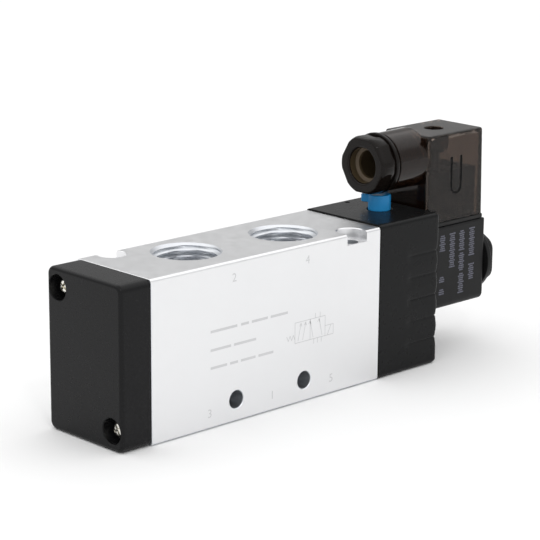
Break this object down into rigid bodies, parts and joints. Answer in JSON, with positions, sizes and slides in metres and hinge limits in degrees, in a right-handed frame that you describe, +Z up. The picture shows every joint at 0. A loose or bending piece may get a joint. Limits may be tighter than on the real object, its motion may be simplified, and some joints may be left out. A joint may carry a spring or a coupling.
{
  "type": "solenoid directional valve",
  "caption": "Single-solenoid, spring-return pneumatic spool valve with an aluminium body, plastic end cap and pilot body, coil, plug connector and manual override.",
  "frame": {"origin": "centre of the whole valve's bounding box in plan, at the height of the body's underside", "axes": "+X along the spool from the end cap towards the coil, +Z up towards the connector, +Y towards the back side"},
  "size_m": [0.1694, 0.0336, 0.0758],
  "materials": {
    "body_aluminium": "satin anodised",
    "turned_aluminium": "fine turned",
    "black_plastic": "fine moulded texture",
    "coil_plastic": "smooth moulded",
    "smoke_plastic": "glossy translucent smoke",
    "blue_plastic": "smooth moulded",
    "white_plastic": "machined",
    "plated_steel": "bright nickel plated",
    "stainless_steel": "drawn",
    "brass": "turned",
    "copper_wire": "enamelled wire",
    "rubber_seal": "nitrile rubber"
  },
  "bodies": {
    "valve": {"valve_body": "body_aluminium", "end_cap": "black_plastic", "end_cap_seal": "rubber_seal", "end_cap_screw_upper": "plated_steel", "end_cap_screw_lower": "plated_steel", "return_spring": "stainless_steel", "pilot_body": "black_plastic", "pilot_body_seal": "rubber_seal", "pilot_screw_upper": "plated_steel", "pilot_screw_lower": "plated_steel", "armature_tube": "stainless_steel", "armature_tube_seal": "rubber_seal", "fixed_core": "stainless_steel", "pilot_seat": "brass", "plunger_spring": "stainless_steel", "override_spring": "stainless_steel", "coil": "coil_plastic", "coil_winding": "copper_wire", "coil_terminal_1": "brass", "coil_terminal_2": "brass", "coil_terminal_earth": "brass", "coil_nut": "coil_plastic", "coil_nut_seal": "rubber_seal", "plug_gasket": "rubber_seal", "plug_housing": "smoke_plastic", "terminal_block": "black_plastic", "terminal_screw_1": "plated_steel", "terminal_screw_2": "plated_steel", "terminal_screw_earth": "plated_steel", "plug_screw": "plated_steel", "plug_screw_seal": "rubber_seal", "gland_nut": "smoke_plastic", "gland_washer": "plated_steel", "gland_seal": "rubber_seal"},
    "spool": {"spool": "turned_aluminium", "spool_seal_1": "rubber_seal", "spool_seal_2": "rubber_seal", "spool_seal_3": "rubber_seal", "spool_seal_4": "rubber_seal", "spool_seal_5": "rubber_seal", "spool_seal_6": "rubber_seal"},
    "pilot_piston": {"pilot_piston": "white_plastic", "pilot_piston_seal": "rubber_seal"},
    "plunger": {"plunger": "stainless_steel", "plunger_seat_seal": "rubber_seal"},
    "override_stem": {"override_seal": "rubber_seal"},
    "override_knob": {"override_knob": "blue_plastic"}
  },
  "joints": [
    {"name": "spool_slide", "type": "slide", "parent": "valve", "child": "spool", "axis": [-1, 0, 0], "range_m": [0, 0.005], "deforming": ["return_spring"]},
    {"name": "piston_slide", "type": "slide", "parent": "valve", "child": "pilot_piston", "axis": [-1, 0, 0], "range_m": [0, 0.005]},
    {"name": "plunger_slide", "type": "slide", "parent": "valve", "child": "plunger", "axis": [1, 0, 0], "range_m": [0, 0.0012], "deforming": ["plunger_spring"]},
    {"name": "override_press", "type": "slide", "parent": "valve", "child": "override_stem", "axis": [0, 0, -1], "range_m": [0, 0.0015], "deforming": ["override_spring"]},
    {"name": "override_turn", "type": "hinge", "parent": "override_stem", "child": "override_knob", "pos_m": [0.03835, 0, 0.05], "axis": [0, 0, -1], "range_deg": [0, 90]}
  ],
  "couplings": [
    {"joint": "piston_slide", "follows": "spool_slide", "ratio": 1}
  ]
}
